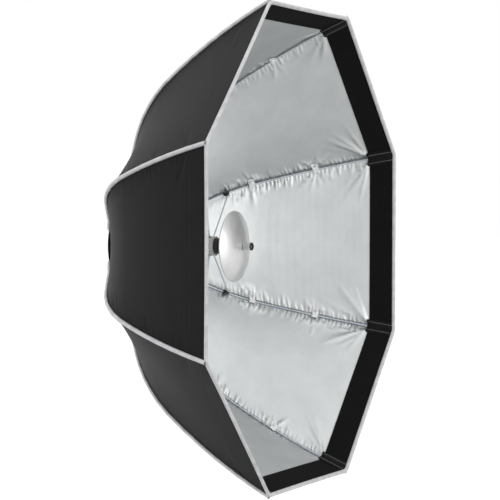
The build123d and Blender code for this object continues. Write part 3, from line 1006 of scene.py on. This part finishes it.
def make_seam_binding(rib):
    """The binding over a rib's seam, outside, from the collar to the front corner."""
    s = np.linspace(CLOTH_START - 1, CLOTH_END + 1.5, 180)
    x = np.array([point[0] for point in SEAM_SECTION])[None, :] + np.zeros((len(s), 1))
    lifts = np.array([point[1] for point in SEAM_SECTION]) - CLOTH_INSIDE
    grid_s = s[:, None] + np.zeros_like(x)
    ripple = SEAM_RIPPLE * np.sin(grid_s / 5.1 + rib) * np.sin(grid_s / 23.0 + 2 * rib)
    radius, forward, _ = seam_line(grid_s, inside_lift(grid_s) + lifts + ripple)
    drop = 0.5 * HALF_TAN * np.abs(x) * (lifts < 1)
    sections = to_row(rib, np.stack([x, radius - drop, forward], axis=-1))
    uvs = np.stack([x, grid_s], axis=-1)
    binding = make_loft(f"seam_binding_{rib}", sections, [TAPE], uvs.reshape(-1, 2))
    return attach(binding, f"rib_{rib}")


def make_seam_allowance(rib):
    """The overcast edge of the seam inside, ruffled, beside the rod."""
    s = np.linspace(ALLOWANCE_START, BAND_START - 1, 330)
    share = np.linspace(0, 1, 6)
    ruffle = 0.45 * np.sin(s / 1.5 + rib) + 0.35 * np.sin(s / 3.7 + 2 * rib)
    width = 2.4 + 0.4 * np.sin(s / 9 + rib)
    x = ALLOWANCE_X + share[None, :] * width[:, None]
    grid_s = s[:, None] + np.zeros_like(x)

    def ruffled(x, s):
        return -0.5 + 0.9 * ruffle[:, None] * share[None, :]

    outer, outer_normals = sheet_grid(rib, x, grid_s, ALLOWANCE_OUTER, 1.0, ruffled)
    inner, inner_normals = sheet_grid(rib, x, grid_s, ALLOWANCE_INNER, 1.0, ruffled)
    uvs = np.stack([grid_s, x], axis=-1)
    edge = make_shell(
        f"seam_allowance_{rib}", outer, inner, outer_normals, -inner_normals, uvs,
        [OVERCAST, OVERCAST],
    )
    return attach(edge, f"rib_{rib}")


STITCH_PITCH = 3.4
STITCH_LENGTH = 2.5
STITCH_RADIUS = 0.42
STITCH_ROW = 0.68
STITCH_LIFT = -2.62


def stitch(start, end, up, radius):
    """Points and faces of one stitch: a six-sided thread that dips and thins at its ends."""
    along = unit(end - start)
    side = np.cross(along, up)
    middle = (start + end) / 2 + up * radius * 0.5
    points = []
    for place, size in ((start, 0.45), (middle, 1.0), (end, 0.45)):
        for turn in range(6):
            angle = turn * pi / 3
            spoke = cos(angle) * side + sin(angle) * up
            points.append(place + radius * size * spoke)
    faces = [list(range(5, -1, -1)), list(range(12, 18))]
    for ring in range(2):
        for turn in range(6):
            a, b = ring * 6 + turn, ring * 6 + (turn + 1) % 6
            faces.append([a, b, b + 6, a + 6])
    return points, faces


def make_pocket(rib):
    """The corner pocket over a rib's tip: a webbing patch with two rows of stitches."""
    s = np.linspace(POCKET_START, POCKET_END, 27)
    share = np.linspace(-1, 1, 27)
    flare = 1 + 0.10 * ((s[:, None] - s[0]) / BAND_WIDTH)
    x = POCKET_HALF * share[None, :] * flare
    grid_s = s[:, None] + np.zeros_like(x)

    def swell(x, s):
        """The pocket stands off the band, most at its mouth, where the rod goes in."""
        edge = np.clip(1 - (np.abs(x) / POCKET_HALF) ** 4, 0, 1)
        mouth = np.exp(-(((s - POCKET_START) / 7) ** 2))
        return rod_bulge(x, s) - 0.9 * edge - 1.1 * mouth * np.exp(-((x / 5) ** 2))

    outer, outer_normals = sheet_grid(
        rib, x, grid_s, POCKET_OUTER, BAND_CREASED, swell
    )
    inner, inner_normals = sheet_grid(
        rib, x, grid_s, POCKET_INNER, BAND_CREASED, swell
    )
    uvs = np.stack([x / HALF_COS, grid_s], axis=-1)
    pocket = make_shell(
        f"corner_pocket_{rib}", outer, inner, outer_normals, -inner_normals, uvs,
        [WEBBING, WEBBING],
    )
    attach(pocket, f"rib_{rib}")
    points, faces = [], []
    for row in (-1, 1):
        for mark in np.arange(s[0] + 1.5, s[-1] - 1, STITCH_PITCH):
            ends = np.array([mark, mark + STITCH_LENGTH])
            place = np.full(2, row * STITCH_ROW * POCKET_HALF)
            on_cloth, normals = sheet_grid(
                rib, place, ends, STITCH_LIFT, BAND_CREASED, swell
            )
            start, end = on_cloth
            made, joined = stitch(start, end, -normals[0], STITCH_RADIUS * MM)
            faces += [[i + len(points) for i in face] for face in joined]
            points += made
    uvs = np.zeros((len(points), 2))
    stitches = make_object(f"pocket_stitches_{rib}", points, faces, [THREAD], None, uvs)
    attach(stitches, f"rib_{rib}")
    return pocket, stitches


# the stud's outline, from its centre underneath to its dished top: radius and height
STUD_PROFILE = [
    (0.05, -0.2),
    (3.1, -0.2),
    (3.3, 0.3),
    (2.9, 0.9),
    (1.9, 1.1),
    (1.6, 0.7),
    (0.05, 0.6),
]


def make_tab(rib, number):
    """White tab that ties a rib to the canopy, with its press stud."""
    station = TAB_STATIONS[number - 1]
    rng = np.random.default_rng(100 * rib + number)
    share = np.linspace(-1, 1, 45)
    s = station + np.linspace(-TAB_WIDTH / 2, TAB_WIDTH / 2, 15)
    grid_s = s[:, None] + np.zeros((1, len(share)))
    skew = rng.uniform(-1.2, 1.2)
    x = np.linspace(*TAB_ENDS, len(share))[None, :] + np.zeros_like(grid_s)
    grid_s = grid_s + skew * share[None, :]

    def over_rod(x, s):
        """The tab goes over the rod, and its free end curls."""
        end = np.clip(np.abs(x) / TAB_ENDS[1] - 0.72, 0, 1)
        curl = 0.9 * end * np.sin(s / 3.1 + rib)
        return -5.0 * np.exp(-((x / 4.0) ** 2)) - 0.6 - curl

    outer, outer_normals = sheet_grid(rib, x, grid_s, TAB_OUTER, TAB_CREASED, over_rod)
    inner, inner_normals = sheet_grid(rib, x, grid_s, TAB_INNER, TAB_CREASED, over_rod)
    uvs = np.stack([x, grid_s], axis=-1)
    tab = make_shell(
        f"rib_tab_{rib}_{number}", outer, inner, outer_normals, -inner_normals, uvs,
        [COTTON, COTTON],
    )
    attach(tab, f"rib_{rib}")
    seat, normal = sheet_grid(
        rib, np.array([TAB_STUD]), np.array([station]), TAB_INNER, TAB_CREASED, over_rod
    )
    sections = lathe_sections(STUD_PROFILE, 20) * MM
    turn = Vector(-normal[0]).to_track_quat("Z", "Y").to_matrix()
    sections = sections @ np.array(turn).T + seat[0]
    stud = make_loft(f"tab_stud_{rib}_{number}", sections, [STEEL])
    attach(stud, f"rib_{rib}")
    return tab, stud


def tube_sections(points, radius, count=8):
    """Sections of a round thread along points, in metres."""
    points = np.asarray(points)
    tangent = unit(np.gradient(points, axis=0))
    side = unit(np.cross(tangent, np.array([0.31, 0.52, 0.79])))
    up = np.cross(tangent, side)
    angles = np.linspace(0, 2 * pi, count, endpoint=False)[None, :, None]
    ring = np.cos(angles) * side[:, None] + np.sin(angles) * up[:, None]
    return points[:, None] + radius * ring


THREAD_RADIUS = 0.45
THREAD_TURNS = 3.3
THREAD_PITCH = 1.1
THREAD_TAIL = 7.0


def beside_rib(x, s, lift):
    """Rib-frame points at that x and lift from a rib's centre line."""
    radius, forward, _ = seam_line(s, lift)
    return np.stack([x, radius, forward], -1)


def make_tip_thread(rib):
    """White thread tied round a rib where it goes into its pocket."""
    turns = np.linspace(0, 2 * pi * THREAD_TURNS, 70)
    s = BAND_START - 6.5 + turns / (2 * pi) * THREAD_PITCH
    reach = ROD_RADIUS + THREAD_RADIUS
    coil = beside_rib(reach * np.cos(turns), s, reach * np.sin(turns))
    swing = np.linspace(0, 1, 14)
    x = coil[-1, 0] + 4.5 * swing * (1 if rib % 2 else -1)
    lift = -reach - 1.6 * np.sin(pi * swing)
    tail = beside_rib(x, s[-1] + np.linspace(0.4, THREAD_TAIL, 14), lift)
    line = to_row(rib, np.concatenate([coil, tail]))
    sections = tube_sections(line, THREAD_RADIUS * MM)
    rows, columns = sections.shape[:2]
    uvs = np.zeros((rows * columns, 2))
    thread = make_loft(f"tip_thread_{rib}", sections, [COTTON], uvs)
    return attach(thread, f"rib_{rib}")


# the cap's outline: distance along the rib from the rod's end, and radius
ROD_END = RIB_LENGTH - 7.0
CAP_PROFILE = [(-9.0, 2.2), (-8.6, 2.7), (-1.0, 2.7), (0.6, 2.3), (1.6, 1.3), (2.0, 0.1)]


def make_tip_cap(rib):
    """Rounded cap on a rib's front end, inside its pocket."""
    along, size = np.array(CAP_PROFILE).T[:, :, None]
    angles = np.linspace(0, 2 * pi, 18, endpoint=False)
    x = size * np.cos(angles)
    sections = beside_rib(x, ROD_END + along, size * np.sin(angles))
    cap = make_loft(f"rib_tip_cap_{rib}", to_row(rib, sections), [PLASTIC])
    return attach(cap, f"rib_{rib}")


def make_canopy():
    """The canopy's strips with all that is sewn on them."""
    for rib in RIBS:
        allowance = make_seam_allowance(rib)
        binding = make_seam_binding(rib)
        pocket = make_pocket(rib)
        tabs = [piece for number in (1, 2) for piece in make_tab(rib, number)]
        thread = make_tip_thread(rib)
        make_tip_cap(rib)
        for side in (0, -1, 1):
            strip, (width, length, area) = make_canopy_strip(rib, side)
            band = make_band_strip(rib, side)
            rim = make_rim_strip(rib, side)
            sewn = [band, rim]
            if side == 0:
                sewn += [allowance, binding, thread, *pocket, *tabs]


# ---------------------------------------------------------------- collar behind the canopy
def make_collar():
    """Gathered fabric collar that closes the canopy round the ring."""
    low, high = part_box("rear_collar")
    outside = (high.x - low.x) / 2 / MM
    back, front = -high.y / MM, -low.y / MM
    inside = COLLAR_INSIDE
    angles = np.linspace(0, 2 * pi, 360, endpoint=False)
    share = np.linspace(0, 1, 14)
    gather = 0.5 * np.sin(angles * 46) + 0.3 * np.sin(angles * 29 + 1)
    wave = np.sin(pi * share)[:, None] ** 1.2 * gather[None, :]
    radius = inside + (outside - inside) * share[:, None]
    depth = back + (front - back - COLLAR_THICKNESS) * share[:, None] + 0.9 * wave
    x = radius * np.cos(angles)[None, :]
    z = radius * np.sin(angles)[None, :]
    rear = np.stack([x, -depth, z], -1)
    face = np.stack([x, -(depth + COLLAR_THICKNESS), z], -1)
    sections = np.concatenate([rear, face[::-1]]) * MM
    loop = sections.transpose(1, 0, 2)
    loop = np.concatenate([loop, loop[:1]])
    rows, columns = loop.shape[:2]
    around = np.linspace(0, 2 * pi, rows) * HINGE_RADIUS
    across = np.linspace(0, COLLAR_GIRTH, columns)
    uvs = np.stack(np.meshgrid(around, across, indexing="ij"), -1)
    collar = make_loft("ring_collar", loop, [BLACK], uvs.reshape(-1, 2))
    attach(collar, "mount_ring")
    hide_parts("rear_collar")


# ---------------------------------------------------------------- floor, light and camera
def make_floor():
    """A large pale floor, a little below the object."""
    low, _ = cad_box
    angles = np.linspace(0, 2 * pi, FLOOR_SIDES, endpoint=False)
    height = low.z - FLOOR_DROP
    points = [(FLOOR_REACH * cos(a), FLOOR_REACH * sin(a), height) for a in angles]
    floor = make_object("floor", points, [list(range(FLOOR_SIDES))], [floor_with_painted_shade()])
    floor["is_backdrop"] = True


def make_light(name, place, target, size, watts):
    """A round area light at place, aimed at target."""
    data = bpy.data.lights.new(name, "AREA")
    data.shape = "DISK"
    data.size = size
    data.energy = watts
    lamp = bpy.data.objects.new(name, data)
    lamp.location = place
    aim = Vector(target) - Vector(place)
    lamp.rotation_euler = aim.to_track_quat("-Z", "Y").to_euler()
    bpy.context.scene.collection.objects.link(lamp)


def make_light_and_air():
    """Two lamps, and a sky that lights the object unevenly but looks white itself."""
    scene = bpy.context.scene
    scene.view_settings.view_transform = "Standard"
    world = bpy.data.worlds.new("studio")
    scene.world = world
    world.use_nodes = True
    tree = world.node_tree
    background = tree.nodes["Background"]
    way = add(tree, "ShaderNodeTexCoord").outputs["Generated"]
    height = add(tree, "ShaderNodeSeparateXYZ", {"Vector": way}).outputs["Z"]
    toward_dim = add(
        tree, "ShaderNodeVectorMath", {0: way, 1: DIM_SIDE}, operation="DOT_PRODUCT"
    ).outputs["Value"]
    dim = ease_between(tree, toward_dim, DIM_EASE, SKY_LIGHT, DIM_LIGHT)
    sky = compute(tree, "MULTIPLY_ADD", compute(tree, "MAXIMUM", height, 0.0), SKY_RISE, dim)
    seen = add(tree, "ShaderNodeLightPath").outputs["Is Camera Ray"]
    strength = add(
        tree, "ShaderNodeMix", {"Factor": seen, "A": sky, "B": 1.0}, data_type="FLOAT"
    ).outputs["Result"]
    tree.links.new(strength, background.inputs["Strength"])
    background.inputs["Color"].default_value = (1.0, 1.0, 1.0, 1)
    middle = (0, -0.2, 0)
    make_light("top_light", (-0.5, -0.6, 2.8), middle, size=3.0, watts=6)
    make_light("front_light", (0.45, -3.4, 0.25), middle, size=1.5, watts=16)


def make_camera():
    """The camera at the photograph's place, turned round its own axis by the roll."""
    data = bpy.data.cameras.new("camera")
    data.lens = CAMERA_LENS
    data.sensor_width = CAMERA_SENSOR
    data.clip_end = CAMERA_FAR
    camera = bpy.data.objects.new("camera", data)
    bpy.context.scene.collection.objects.link(camera)
    back = Vector(
        (
            sin(CAMERA_AZIMUTH) * cos(CAMERA_ELEVATION),
            -cos(CAMERA_AZIMUTH) * cos(CAMERA_ELEVATION),
            sin(CAMERA_ELEVATION),
        )
    )
    right = (-back).cross(Vector((0, 0, 1))).normalized()
    up = right.cross(-back)
    c, s = cos(CAMERA_ROLL), sin(CAMERA_ROLL)
    right, up = c * right + s * up, c * up - s * right
    turn = Matrix((right, up, back)).transposed()
    camera.matrix_world = Matrix.Translation(CAMERA_PLACE) @ turn.to_4x4()
    bpy.context.scene.camera = camera


# ---------------------------------------------------------------- the scene
finish_cad_nodes()
make_canopy()
make_collar()
make_floor()
make_light_and_air()
make_camera()

boxes = {"cad": cad_box, "visual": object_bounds()}
{k: [list(low), list(high)] for k, (low, high) in boxes.items()}
